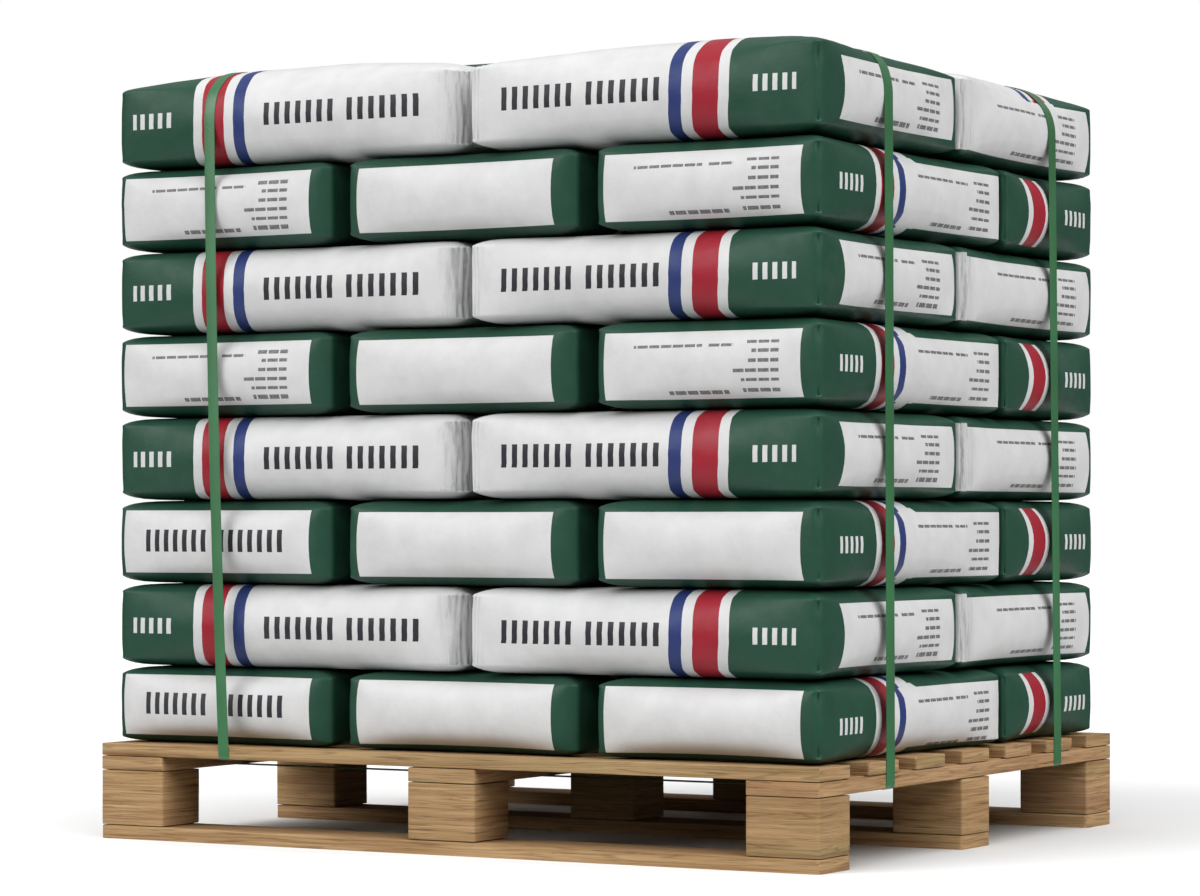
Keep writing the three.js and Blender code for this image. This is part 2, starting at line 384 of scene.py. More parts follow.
def paper_finish(shader, colour):
    """Coated paper: faint mottling, soft gloss and small wrinkles."""
    place = shader.place()
    mottle = shader.noise(place, 26, 4, 0.6)
    mottled = shader.toned(colour, shader.ramp(mottle, 0.3, 0.7, 0.93, 1.03))
    scuffs = shader.ramp(shader.noise(place, 7, 5, 0.65), 0.56, 0.74, 0.0, 0.05)
    fibre = shader.bump(shader.noise(place, 420, 3, 0.7), 0.00025, 0.5)
    wrinkle = shader.noise(shader.scaled(place, (1, 1, 0.7)), 16, 5, 0.62)
    return shader.finish({
        "Base Color": shader.mix(scuffs, mottled, linear("9aa39d")),
        "Roughness": shader.ramp(shader.noise(place, 40, 3, 0.6), 0.3, 0.7, *PAPER_ROUGHNESS),
        "Specular IOR Level": PAPER_GLOSS,
        "Normal": shader.bump(wrinkle, 0.0035, 0.55, Normal=fibre),
    })


def printed_paper(name):
    """A paper's shader, and the millimetres along the face and up from its base in the UV map."""
    shader = Shader("sack_paper_" + name)
    uv = shader.add("ShaderNodeUVMap", uv_map="print").outputs[0]
    split = shader.add("ShaderNodeSeparateXYZ", {0: uv})
    return shader, *(shader.times(split.outputs[i], 1 / MM) for i in range(2))


def paint_mark(shader, colour, s, h, span):
    rect = (*span, PRINT_MIDDLE - MARK_HEIGHT / 2, PRINT_MIDDLE + MARK_HEIGHT / 2)
    return paint_bars(shader, colour, "white", s, h, rect, MARK_BARS)


def head_print(shader, place, head):
    """Green head, then the stripes, then white."""
    colour = shader.mix(shader.math("LESS_THAN", place, head), INKS["white"], INKS["green"])
    return paint_stripes(shader, colour, place, head, STRIPES)


def title_row(shader, colour, s, h, span):
    """Two groups of plain bars, one after the other."""
    low, high = PRINT_MIDDLE - TITLE_HEIGHT / 2, PRINT_MIDDLE + TITLE_HEIGHT / 2
    first_end = (sum(span) - TITLE_WORD_GAP) / 2
    for word in ((span[0], first_end), (first_end + TITLE_WORD_GAP, span[1])):
        colour = paint_bars(shader, colour, "black", s, h, (*word, low, high), TITLE_WORD_BARS)
    return colour


def painted_tail_shade(shader, colour, s, tail_at, reach):
    """Painted shade over the last part of a sack, greyer towards its end and broken into thin upright
    streaks like the shade in creases; reach points inwards.
    """
    share = shader.math("DIVIDE", shader.minus(s, tail_at), reach)
    fade = shader.ramp(share, 0.0, 1.0, TAIL_SHADE, 0.0)
    place = shader.scaled(shader.place(), (1, 1, 0.12))
    lines = shader.ramp(shader.noise(place, 150, 3, 0.7), 0.5, 0.62, 0.35, 1.0)
    factor = shader.times(shader.math("POWER", fade, 1.6), lines)
    return shader.mix(factor, colour, INKS["painted_shade_grey"])


def title_paper(place):
    shader, s, h = printed_paper(f"title_{place}")
    colour = head_print(shader, s, HEAD_LENGTHS[place])
    colour = paint_mark(shader, colour, s, h, MARK_SPANS[place])
    colour = title_row(shader, colour, s, h, TITLE_SPANS[place])
    if place == "left":
        # Painted shade in upright streaks over the tail of the left sack, at the split in the row
        colour = painted_tail_shade(shader, colour, s, TWO_ACROSS_FRONT[0][1] - STACK_LEFT, -TAIL_SHADE_REACH)
    return paper_finish(shader, colour)


def striped_paper(name, strips_start):
    """Level and hidden faces: head, stripes and white, and green from strips_start on."""
    shader, s, _ = printed_paper(name)
    colour = head_print(shader, s, HEAD_LENGTHS["right"])
    if strips_start:
        colour = shader.mix(shader.above(s, strips_start), colour, INKS["green"])
    return paper_finish(shader, colour)


def bowed(shader, s, h, depth):
    """Places along a face for print whose upright edges are bowed forwards by depth at mid-height."""
    aside = shader.math("DIVIDE", shader.minus(h, PRINT_MIDDLE), PRINT_MIDDLE)
    return shader.minus(s, shader.times(shader.minus(1.0, shader.times(aside, aside)), depth))


def panel_paper(name, rows, panel=PANEL, bow_depth=PANEL_BOW):
    """Green end of a sack with a white panel, which is bare or holds plain rows."""
    shader, s, h = printed_paper(name)
    rect = (0, PANEL_LENGTH, *panel)
    colour = paint_rect(shader, INKS["green"], "white", bowed(shader, s, h, bow_depth), h, rect)
    if rows == "small":
        colour = paint_small_print(shader, colour, s, h, 0, PANEL_LENGTH, panel)
    if rows == "title":
        colour = title_row(shader, colour, s, h, TITLE_SPANS["panel"])
    return paper_finish(shader, colour)


def long_side_paper():
    """Long side that starts like the title side and ends in a panel between green strips."""
    shader, s, h = printed_paper("long_side")
    stripe_place = bowed(shader, s, h, LONG_SIDE_BOW)
    colour = head_print(shader, stripe_place, LONG_SIDE_HEAD - LONG_SIDE_BOW)
    colour = paint_mark(shader, colour, s, h, MARK_SPANS["long"])
    beyond = shader.math("ABSOLUTE", shader.minus(h, sum(PANEL) / 2))
    border = shader.minus(LONG_SIDE_STRIPS_START, shader.times(beyond, LONG_SIDE_STRIPS_SLANT))
    colour = shader.mix(shader.above(s, border), colour, INKS["green"])
    panel_place = bowed(shader, s, h, PANEL_END_BOWS["long"])
    colour = paint_rect(shader, colour, "white", panel_place, h, (*LONG_SIDE_PANEL, *PANEL))
    length = LONG_SIDE_PANEL[1] - LONG_SIDE_PRINT_START
    colour = paint_small_print(shader, colour, s, h, LONG_SIDE_PRINT_START, length, PANEL)
    return paper_finish(shader, colour)


def tail_side_paper(name, top_strip_start, stripes_start):
    """Long side seen from the white tail: a panel between green strips, which start at an offset."""
    shader, s, h = printed_paper(name)
    lower = shader.mix(shader.above(s, TAIL_STRIP_START), INKS["white"], INKS["green"])
    upper = shader.mix(shader.above(s, top_strip_start), INKS["white"], INKS["green"])
    if stripes_start:
        upper = paint_stripes(shader, upper, s, stripes_start, TOP_STRIPES)
    colour = shader.mix(shader.above(h, PRINT_MIDDLE), lower, upper)
    place = bowed(shader, s, h, PANEL_END_BOWS["tail"])
    colour = paint_rect(shader, colour, "white", place, h, (0, TAIL_PANEL_END, *PANEL))
    colour = paint_small_print(shader, colour, s, h, *TAIL_PRINT, PANEL)
    # Painted shade in upright streaks over the white tail
    return paper_finish(shader, painted_tail_shade(shader, colour, s, 0, TAIL_SHADE_REACH))


def banded_end_paper():
    """End of a lengthways sack: green with a bowed white, red and white band and a mark."""
    shader, s, h = printed_paper("banded_end")
    place = bowed(shader, s, h, BAND_BOW)
    colour = paint_stripes(shader, INKS["green"], place, BAND_START - BAND_BOW, BAND)
    return paper_finish(shader, paint_mark(shader, colour, s, h, MARK_SPANS["banded"]))


def plain_paper(ink):
    return paper_finish(Shader("sack_paper_" + ink), INKS[ink])


PAPERS = {
    "title_left": title_paper("left"),
    "title_right": title_paper("right"),
    "striped": striped_paper("striped", None),
    "striped_strip": striped_paper("striped_strip", LEVEL_STRIP_START),
    "panel": panel_paper("panel", None),
    "panel_small": panel_paper("panel_small", "small"),
    "panel_title": panel_paper("panel_title", "title"),
    "panel_right": panel_paper("panel_right", "small", RIGHT_PANEL, RIGHT_PANEL_BOW),
    "long": long_side_paper(),
    "tail": tail_side_paper("tail_side", TAIL_STRIP_START, None),
    "tail_top": tail_side_paper("top_tail_side", TOP_TAIL_STRIP_START, TOP_TAIL_STRIPES_START),
    "banded": banded_end_paper(),
    "green": plain_paper("green"),
    "white": plain_paper("white"),
}


def grid_lines(length, cell, first=EDGE_LINES, last=EDGE_LINES):
    """Distances along an edge: close lines at both ends and even cells between them."""
    count = max(2, round((length - first[-1] - last[-1]) / cell))
    inner = np.linspace(first[-1], length - last[-1], count + 1)
    return np.concatenate([[0, *first[:-1]], inner, length - np.array([0, *last[:-1]])[::-1]])


def box_lattice(counts):
    """Grid points on the surface of a box, and its quads with the side that each lies on."""
    nx, ny, nz = counts
    index = {}
    quads = []

    def point(*key):
        return index.setdefault(key, len(index))

    def patch(side, across, up, corner):
        for a in range(across):
            for b in range(up):
                keys = [(a, b), (a + 1, b), (a + 1, b + 1), (a, b + 1)]
                quads.append((side, [point(*corner(*key)) for key in keys]))

    patch("front", nx, nz, lambda a, b: (a, 0, b))
    patch("right", ny, nz, lambda a, b: (nx, a, b))
    patch("back", nx, nz, lambda a, b: (nx - a, ny, b))
    patch("left", ny, nz, lambda a, b: (0, ny - a, b))
    patch("top", nx, ny, lambda a, b: (a, b, nz))
    patch("bottom", nx, ny, lambda a, b: (nx - a, b, 0))
    return np.array(list(index)), quads


def arch(t, softness=ARCH_SOFTNESS):
    return (1 - np.abs(2 * t - 1) ** ARCH_POWER) ** softness


def side_offset(t, length, c, swell, power):
    """How far a side stands out at t along it and c from -1 below to 1 above.

    Its swell is (depth at mid-height, whether it faces a neighbour)."""
    depth, inner = swell
    bow = arch(t)
    crease = CORNER_REACH * (1 - bow) - EDGE_INSET * bow
    belly = CORNER_REACH * (1 - bow) + depth * arch(t, INNER_SOFTNESS if inner else ARCH_SOFTNESS)
    nearest = np.minimum(t, 1 - t) * length
    dip = INNER_DIP * np.exp(-((nearest - INNER_DIP_PLACE) / INNER_DIP_REACH) ** 2)
    return crease + (belly - crease) * (1 - np.abs(c) ** power) - inner * dip


def corner_rounds(sack, side):
    """Rounding of a side at its two corners: deeper where the next sack in a row of ends begins."""
    rounds = sack["rounds"]
    is_end = side in rounds
    if sack["lengthways"]:
        return (HEAD_ROUND, HEAD_ROUND) if is_end else (rounds["left"], rounds["right"])
    if is_end:
        return rounds[side], rounds[side] if sack["place"] == "right" else INNER_ROUND
    return rounds["front"], rounds["back"]


def rounding(share, extent, corners):
    """Inward shift near the two upright corners of a side, each given as (reach, depth)."""
    ends = zip((share * extent, (1 - share) * extent), corners)
    return sum(depth * np.clip(1 - away / reach, 0, 1) ** ROUND_POWER for away, (reach, depth) in ends)


def rim_drop(dist, along, rim, corner, middle):
    """How far a level face falls at dist from one of its edges."""
    edge = corner + (middle - corner) * arch(along)
    return edge * np.clip(1 - dist / rim, 0, 1) ** 2


def face_drop(sack, p, q, side, end):
    """Fall of a level face towards its four edges; side and end give rim, corner and middle."""
    length, width = sack["size"]
    across, along = (end, side) if sack["lengthways"] else (side, end)
    edges = (
        (p * length, q, across),
        ((1 - p) * length, q, across),
        (q * width, p, along),
        ((1 - q) * width, p, along),
    )
    return np.max([rim_drop(d, t, **form) for d, t, form in edges], axis=0)


def crown(sack, p, q):
    """How far the upper face of a sack in the last layer stands over its edges."""
    row, place = sack["row"], sack["place"]
    height, right_rise, back_rise = CROWNS["back" if row == "back" else f"front_{place}"]
    along, across = (p, q) if sack["lengthways"] else (q, p)
    rise = height * (1 - np.abs(2 * along - 1) ** CROWN_POWER) + right_rise * p + back_rise * q
    return rise + CROSS_CROWN * (1 - np.abs(2 * across - 1) ** CROSS_CROWN_POWER)


def sack_points(sack, p, q, r):
    """Places of the lattice points, from their shares of the length, width and height."""
    (x0, x1), (y0, y1), (z0, z1) = sack["x"], sack["y"], sack["z"]
    length, width = sack["size"]
    x_power, y_power = LONG_SIDE_POWER, END_ON_END_POWER
    if sack["lengthways"]:
        x_power, y_power = LENGTHWAYS_END_POWER, LONG_SIDE_POWER

    def offset(side, share, extent, power):
        swollen = side_offset(share, extent, 2 * r - 1, sack["swell"][side], power)
        return swollen - rounding(share, extent, corner_rounds(sack, side))

    left = x0 - offset("left", q, width, x_power)
    right = x1 + offset("right", q, width, x_power)
    front = y0 - offset("front", p, length, y_power)
    back = y1 + offset("back", p, length, y_power)
    low_rim = FIRST_LAYER_RIM if sack["first"] else RIM
    low = z0 + face_drop(sack, p, q, low_rim, low_rim)
    high = z1 - face_drop(sack, p, q, RIM, RIM)
    if sack["last"]:
        high = z1 + crown(sack, p, q) - face_drop(sack, p, q, CROWN_SIDE, CROWN_END)
    places = left + (right - left) * p, front + (back - front) * q, low + (high - low) * r
    return np.stack(places, axis=1)


def distances(sack, point):
    """How far inside the upright faces of a sack's box a point lies."""
    (x0, x1), (y0, y1) = sack["x"], sack["y"]
    x, y = point[:2]
    return {"left": x - x0, "right": x1 - x, "front": y - y0, "back": y1 - y}


def upwards(sack, z):
    """A height as a share from -1 at the base of a sack to 1 at its top."""
    z0, z1 = sack["z"]
    return 2 * (z - z0) / (z1 - z0) - 1


def print_place(sack, side, point, height):
    """Distance along a face from its printed start, and height over the base of the sack.

    A face's print is (paper, start, end, flip), where start and end are margins of a panel.
    For a level face they are the side at which the head lies, and an offset of the head."""
    inside = distances(sack, point)
    paper, start, end, flip = sack["print"][side]
    if side in ("top", "bottom"):
        return (inside[start] - end) * MM, 0
    face_start = FACE_STARTS[side]
    face_end = OPPOSITE[face_start]
    s = inside[face_end if flip else face_start]
    if paper.startswith("title"):
        above, below = TITLE_SHIFTS[sack["place"]]
        aside = upwards(sack, point[2])
        s += (above if aside > 0 else below) * aside ** 2
    if paper.startswith("panel"):
        s = (s - start) * PANEL_LENGTH / (inside[face_start] + inside[face_end] - start - end)
    h = height - sack["z"][1] + FULL_HEIGHT
    if sack["last"]:
        h -= TOP_LAYER_PRINT_RISES.get(paper.split("_")[0], 0)
    elif paper.startswith("panel") and paper != "panel_right":
        h -= LEFT_PANEL_RISE * (sack["place"] == "left") + FIRST_LAYER_PANEL_RISE * sack["first"]
    return s * MM, h * MM


def corner_folds(sack, point):
    """Inward ears at the ends of the upright corner creases, and the creases themselves."""
    left, right, front, back = map(abs, distances(sack, point).values())
    away = math.hypot(min(left, right), min(front, back))
    if away > CORNER_FOLD_REACH:
        return 0
    crease = CORNER_CREASE_DEPTH * math.exp(-(away / CORNER_CREASE_WIDTH) ** 2)
    wide, tall = EAR_SIZE
    x, y, z = point
    z0, z1 = sack["z"]
    ends = (z1 - EAR_BELOW_EDGE - z, z - z0 - EAR_BELOW_EDGE)
    ears = sum(math.exp(-(end / tall) ** 2) for end in ends)
    near = x > STACK_RIGHT - CORNER_FOLD_REACH and y < STACK_FRONT + CORNER_FOLD_REACH
    depth = NEAR_EAR_DEPTH if near else EAR_DEPTH
    return crease + depth * ears * math.exp(-(away / wide) ** 2)


def pleats(sack, point, seed):
    """How far the uneven pleats at the white tail lie in: nothing away from the tail."""
    edge = distances(sack, point)[sack["tail"]]
    near = min(1.0, max(0.0, 2 - 2 * abs(edge) / PLEAT_REACH))
    drift = noise.noise(Vector((0, 0, point[2] / PLEAT_DRIFT_HEIGHT)) + seed) * PLEAT_DRIFT
    fold = abs(math.sin(math.pi * (edge + drift) / PLEAT_PITCH))
    aside = upwards(sack, point[2])
    return PLEAT_DEPTH * near * (1 - fold) * min(1.0, PLEAT_MIDDLE + aside * aside)


def wrinkle(sack, points, normals):
    """Small lumps and creases along the normals, corner folds, and pleats at the white tail."""
    seed = Vector([sack["seed"] * step for step in SACK_SEED_STEPS])
    for i, (point, normal) in enumerate(zip(points, normals)):
        place = Vector(point)
        open_face = 1 if sack["last"] and normal[2] > 0 else 1 - abs(normal[2])
        lump = noise.noise(place / LUMP_SIZE + seed) * LUMP_HEIGHT
        ridge = 1 - abs(noise.noise(place / CREASE_SIZE + seed * 2)) * CREASE_SHARPNESS
        crease = max(0.0, ridge) * CREASE_HEIGHT * noise.noise(place / CREASE_PATCH_SIZE - seed)
        folds = corner_folds(sack, point) + pleats(sack, point, seed)
        points[i] = point + normal * (lump + crease - folds) * open_face
    return points


def sack_mesh(sack):
    """The coarse mesh of a sack, with its papers and its map of the print."""
    (x0, x1), (y0, y1), (z0, z1) = sack["x"], sack["y"], sack["z"]
    length, width = sack["size"]
    ends = [TAIL_LINES if side == sack["tail"] else EDGE_LINES for side in OPPOSITE]
    lines = [
        grid_lines(length, CELL, *ends[:2]),
        grid_lines(width, CELL, *ends[2:]),
        grid_lines(z1 - z0, UPRIGHT_CELL),
    ]
    keys, quads = box_lattice([len(line) - 1 for line in lines])
    p, q, r = (line[keys[:, axis]] / line[-1] for axis, line in enumerate(lines))
    points = sack_points(sack, p, q, r)
    flat = np.stack([x0 + p * length, y0 + q * width, z0 + r * (z1 - z0)], axis=1)

    mesh = bpy.data.meshes.new(sack["name"])
    mesh.from_pydata((points * MM).tolist(), [], [corners for _, corners in quads])
    papers = {side: PAPERS[face[0]].name for side, face in sack["print"].items()}
    slots = sorted(set(papers.values()))
    for name in slots:
        mesh.materials.append(bpy.data.materials[name])
    uvs = []
    for polygon, (side, corners) in zip(mesh.polygons, quads):
        polygon.material_index = slots.index(papers[side])
        for corner in corners:
            uvs.extend(print_place(sack, side, flat[corner], points[corner][2]))
    mesh.uv_layers.new(name="print").data.foreach_set("uv", uvs)
    return mesh


def vertex_numbers(mesh, key):
    """The places (co) or normals of a mesh's vertices."""
    numbers = np.zeros(len(mesh.vertices) * 3)
    mesh.vertices.foreach_get(key, numbers)
    return numbers.reshape(-1, 3)


def build_sack(sack):
    piece = new_object(sack["name"], sack_mesh(sack))
    smooth = piece.modifiers.new("smooth", "SUBSURF")
    smooth.levels = smooth.render_levels = 1
    smooth.uv_smooth = "NONE"
    bpy.context.view_layer.update()
    fine = bpy.data.meshes.new_from_object(piece.evaluated_get(bpy.context.evaluated_depsgraph_get()))
    piece.modifiers.clear()
    piece.data = fine
    fine.name = sack["name"]
    moved = wrinkle(sack, vertex_numbers(fine, "co") / MM, vertex_numbers(fine, "normal"))
    fine.vertices.foreach_set("co", (moved * MM).ravel())
    fine.shade_smooth()
    fine.update()
    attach(piece, "root")
    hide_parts(f"sack_layer_{sack['layer']}")
    return piece


def press(gap):
    """Swell of an inner side: half of its gap, so that neighbours touch at mid-height."""
    return gap / 2 - TOUCH_GAP, True


def row_of_sacks(row, spans, y):
    """Places of the sacks of one row, and how far each of their sides swells."""
    places = ("left", "right") if len(spans) == 2 else ("left", "middle", "right")
    sacks = []
    for i, (x, place) in enumerate(zip(spans, places)):
        swell = {
            row: (FRONT_SWELL, False),
            OPPOSITE[row]: press(ROW_GAP),
            "left": press(x[0] - spans[i - 1][1]) if i else (SIDE_SWELL, False),
            "right": press(spans[i + 1][0] - x[1]) if i + 1 < len(spans) else (SIDE_SWELL, False),
        }
        size = (x[1] - x[0], y[1] - y[0])
        sacks.append({"x": x, "y": y, "size": size, "row": row, "place": place, "swell": swell})
    return sacks


def lengthways_print(row, place):
    """A sack along X: its head is at the outer end of the stack."""
    above, below = TITLE_SHIFTS[place]
    head_step = HEAD_LENGTHS[place] - HEAD_LENGTHS["right"]
    faces = {
        "front": ("striped", 0, 0, place == "right"),
        "back": ("striped", 0, 0, place == "left"),
        "top": ("striped", place, head_step - above, False),
        "bottom": ("striped", place, head_step - below, False),
        OPPOSITE[place]: ("white", 0, 0, False),
    }
    faces[row] = (f"title_{place}", *faces[row][1:])
    if row == "back":
        faces[place] = ("banded", 0, 0, place == "left")
    else:
        margins = RIGHT_END_MARGINS if place == "right" else RIGHT_END_MARGINS[::-1]
        faces[place] = ("panel_right", *margins, False)
    return faces


def end_on_print(layer, row, place):
    """A sack along Y: its head is at the front of a front row and at the back of a back row."""
    kind = "panel"
    if layer in SMALL_PRINT_LAYERS and place != "middle":
        kind = "panel_small"
    if layer in PANEL_TITLE_LAYERS and place == "left":
        kind = "panel_title"
    faces = {
        row: (kind, *PANEL_MARGINS[place], False),
        OPPOSITE[row]: ("white", 0, 0, False),
        "right": ("striped", 0, 0, row == "back"),
        "left": ("striped", 0, 0, row == "front"),
        "top": ("striped", row, 0, False),
        "bottom": ("striped", row, 0, False),
    }
    if place == "middle":
        return faces
    if row == "front":
        outer = "long"
        level = ("striped_strip", row, LONG_SIDE_LEVEL_HEAD - HEAD_LENGTHS["right"], False)
    else:
        outer = "tail_top" if layer == LAYER_COUNT else "tail"
        level = ("green", row, 0, False)
    faces[place] = (outer, 0, 0, place == "left")
    faces["bottom"] = level
    if layer != LAYER_COUNT:
        faces["top"] = level
    return faces


def layer_heights(layer):
    """Base and top of a layer. The last is as thick as layer 2, without the crowns of its solid."""
    low, high = (corner.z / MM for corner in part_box(f"sack_layer_{layer}"))
    if layer == LAYER_COUNT:
        lower_base, lower_top = layer_heights(2)
        high = low + (lower_top - lower_base)
    return low, high


def finish_sack(sack, layer, lengthways):
    """Add what follows from a sack's layer, row and direction: its head, tail, print and height."""
    row, place = sack["row"], sack["place"]
    if lengthways:
        head, tail_round = place, LENGTHWAYS_TAIL_ROUNDS[place]
        printing = lengthways_print(row, place)
    else:
        head, tail_round = row, TAIL_ROUND
        printing = end_on_print(layer, row, place)
    sack.update(
        name=f"sack_{layer}_{row}_{place}",
        layer=layer,
        lengthways=lengthways,
        z=layer_heights(layer),
        first=layer == 1,
        last=layer == LAYER_COUNT,
        tail=OPPOSITE[head],
        rounds={head: HEAD_ROUND, OPPOSITE[head]: tail_round},
        print=printing,
    )


def build_sacks():
    pieces = []
    for layer in range(1, LAYER_COUNT + 1):
        if layer % 2:
            front_end, front_spans, back_spans = DEEP_FRONT_ROW_END, THREE_ACROSS, TWO_ACROSS_BACK
        else:
            front_end, front_spans, back_spans = SHALLOW_FRONT_ROW_END, TWO_ACROSS_FRONT, THREE_ACROSS
        front_row = row_of_sacks("front", front_spans, (STACK_FRONT, front_end))
        back_row = row_of_sacks("back", back_spans, (front_end + ROW_GAP, STACK_BACK))
        for row in (front_row, back_row):
            for sack in row:
                finish_sack(sack, layer, len(row) == 2)
                sack["seed"] = len(pieces) + 1
                pieces.append(build_sack(sack))
    return pieces


def wood_material(name, stretch):
    """Rough-sawn softwood: streaks and thin dark lines along the grain, and patches of tone."""
    shader = Shader(name)
    tone = shader.add("ShaderNodeAttribute", attribute_name="tone").outputs["Fac"]
    shift = shader.add("ShaderNodeCombineXYZ", {0: tone, 1: tone, 2: tone}).outputs[0]
    values = {0: shift, 1: (37, 21, 53), 2: shader.place()}
    place = shader.add("ShaderNodeVectorMath", values, operation="MULTIPLY_ADD").outputs[0]

    def streaks(share, detail, roughness):
        stretched = shader.scaled(place, tuple(v * share for v in stretch))
        return shader.noise(stretched, 1.0, detail, roughness)

    wide = streaks(0.14, 3, 0.5)
    streak = streaks(1, 6, 0.66)
    fine = streaks(3.2, 4, 0.72)
    rings = shader.math("SINE", shader.times(streaks(0.45, 2, 0.45), 95))
    colour = shader.mix(shader.ramp(streak, 0.32, 0.68), linear("87653f"), linear("ba9a70"))
    # Reddish and greenish patches, growth rings, dark pores and pale fibres
    tints = (
        (wide, 0.52, 0.7, 0, 0.5, "9b7156"),
        (wide, 0.3, 0.45, 0.4, 0, "8a7f56"),
        (rings, 0.55, 1.0, 0, 0.42, "654b30"),
        (fine, 0.3, 0.44, 0.75, 0, "463221"),
        (fine, 0.56, 0.7, 0, 0.35, "b5a180"),
    )
    for pattern, *levels, tint in tints:
        colour = shader.mix(shader.ramp(pattern, *levels), colour, linear(tint))
    pores = shader.bump(fine, 0.0008, 0.8)
    return shader.finish({
        "Base Color": shader.toned(colour, shader.ramp(tone, 0, 1, 0.93, 1.05)),
        "Roughness": shader.ramp(streak, 0.3, 0.7, 0.72, 0.9),
        "Specular IOR Level": 0.25,
        "Normal": shader.bump(streak, 0.0018, 0.6, Normal=pores),
    })


WOODS = {
    "x": wood_material("pallet_wood_along", (3, 75, 110)),
    "y": wood_material("pallet_wood_across", (75, 3, 110)),
    "block": wood_material("pallet_wood_block", (3.5, 3.5, 120)),
}


def add_box(bm, low, high):
    """A box from low to high."""
    for vert in bmesh.ops.create_cube(bm, size=1)["verts"]:
        vert.co = Vector([(low[i] + high[i]) / 2 + vert.co[i] * (high[i] - low[i]) for i in range(3)])


def soften_edges(bm, corner_radius):
    """Round the upright edges of a box, and then bevel its level ones."""

    def bevel(edges, width, segments):
        settings = {"segments": segments, "affect": "EDGES", "profile": 0.5}
        bmesh.ops.bevel(bm, geom=edges, offset=width * MM, **settings)

    def rise(edge):
        return abs(edge.verts[0].co.z - edge.verts[1].co.z)

    bevel([edge for edge in bm.edges if rise(edge) > MM], corner_radius, 4)
    level = [edge for edge in bm.edges if edge.calc_face_angle(0) > 1 and rise(edge) < 1e-6]
    bevel(level, EDGE_BEVEL, 3)


def cut_into_cells(bm, low, size):
    for axis in range(3):
        cuts = int(size[axis] // (LONG_CELL if size[axis] > LONG_TIMBER else SHORT_CELL))
        normal = Vector([1.0 if i == axis else 0.0 for i in range(3)])
        for cut in range(1, cuts + 1):
            place = low.copy()
            place[axis] += size[axis] * MM * cut / (cuts + 1)
            geometry = bm.verts[:] + bm.edges[:] + bm.faces[:]
            bmesh.ops.bisect_plane(bm, geom=geometry, plane_co=place, plane_no=normal)


def wear_timber(bm, centre, size, number):
    """Small uneven losses over the section of a timber, which keep it inside its solid."""
    seed = Vector([number * step for step in TIMBER_SEED_STEPS])
    for vert in bm.verts:
        wear = 0.5 + noise.noise(vert.co / (WEAR_SIZE * MM) + seed)
        inward = (centre - vert.co).normalized()
        shrink = Vector([inward[i] if size[i] < WORN_SECTION else 0 for i in range(3)])
        vert.co += shrink * max(0.0, wear) * WEAR * MM


def build_timber(node, number):
    """A sawn timber in the place of its solid, with softened edges and a slightly uneven surface.

    A block ends just short of the boards below and above it, and a stringer just short of those
    above it. A core fills these joints, which then look dark."""
    kind = node.split("_")[0]
    grain = {"block": "block", "stringer": "y"}.get(kind, "x")
    joints = {"block": (1, 1), "stringer": (0, 1)}.get(kind, (0, 0))
    low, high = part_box(node)
    core = low.copy(), high.copy()
    low.z += joints[0] * JOINT_GAP * MM
    high.z -= joints[1] * JOINT_GAP * MM
    size = (high - low) / MM
    bm = bmesh.new()
    add_box(bm, low, high)
    soften_edges(bm, BOTTOM_CORNER_RADIUS if kind == "bottom" else CORNER_RADIUS)
    cut_into_cells(bm, low, size)
    if any(joints):
        inset = Vector((JOINT_DEPTH, JOINT_DEPTH, 0)) * MM
        add_box(bm, core[0] + inset, core[1] - inset)
    wear_timber(bm, (low + high) / 2, size, number)
    mesh = bpy.data.meshes.new(node + "_timber")
    bm.normal_update()
    bm.to_mesh(mesh)
    bm.free()
    tone = mesh.attributes.new("tone", "FLOAT", "POINT")
    tone.data.foreach_set("value", [(number * TIMBER_TONE_STEP) % 1] * len(mesh.vertices))
    mesh.materials.append(WOODS[grain])
    mesh.materials.append(WOODS["block"])
    grain_axis = ("x", "y", "block").index(grain)
    for polygon in mesh.polygons:
        polygon.material_index = int(abs(polygon.normal[grain_axis]) > 0.7)
    mesh.shade_smooth()
    mesh.set_sharp_from_angle(angle=TIMBER_SHARP_ANGLE)
    piece = new_object(node + "_timber", mesh)
    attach(piece, "root")
    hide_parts(node)


def build_pallet():
    timbers = sorted(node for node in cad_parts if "board" in node or "block" in node)
    for number, node in enumerate(timbers):
        build_timber(node, number)


def strap_material():
    """Smooth polyester band with a fine embossed pattern."""
    shader = Shader("strap_plastic")
    uv = shader.add("ShaderNodeUVMap", uv_map="band").outputs[0]
    shade = shader.ramp(shader.noise(shader.place(), 9, 3), 0.3, 0.7, 0.85, 1.15)
    values = {"Vector": uv, "Scale": 1.0, "Detail": 0.0}
    wave = shader.add("ShaderNodeTexWave", values, bands_direction="DIAGONAL").outputs["Fac"]
    return shader.finish({
        "Base Color": shader.toned(linear("376c45"), shade),
        "Roughness": 0.32,
        "Specular IOR Level": 0.5,
        "Normal": shader.bump(wave, 0.0002, 0.2),
    })


def convex_outline(points):
    """The convex hull of points in a plane, anticlockwise."""
    ordered = sorted(set(map(tuple, points)))

    def half(sequence):
        chain = []
        for point in sequence:
            while len(chain) > 1:
                (ax, ay), (bx, by) = chain[-2], chain[-1]
                if (bx - ax) * (point[1] - ay) - (by - ay) * (point[0] - ax) > 0:
                    break
                chain.pop()
            chain.append(point)
        return chain[:-1]

    return half(ordered) + half(ordered[::-1])


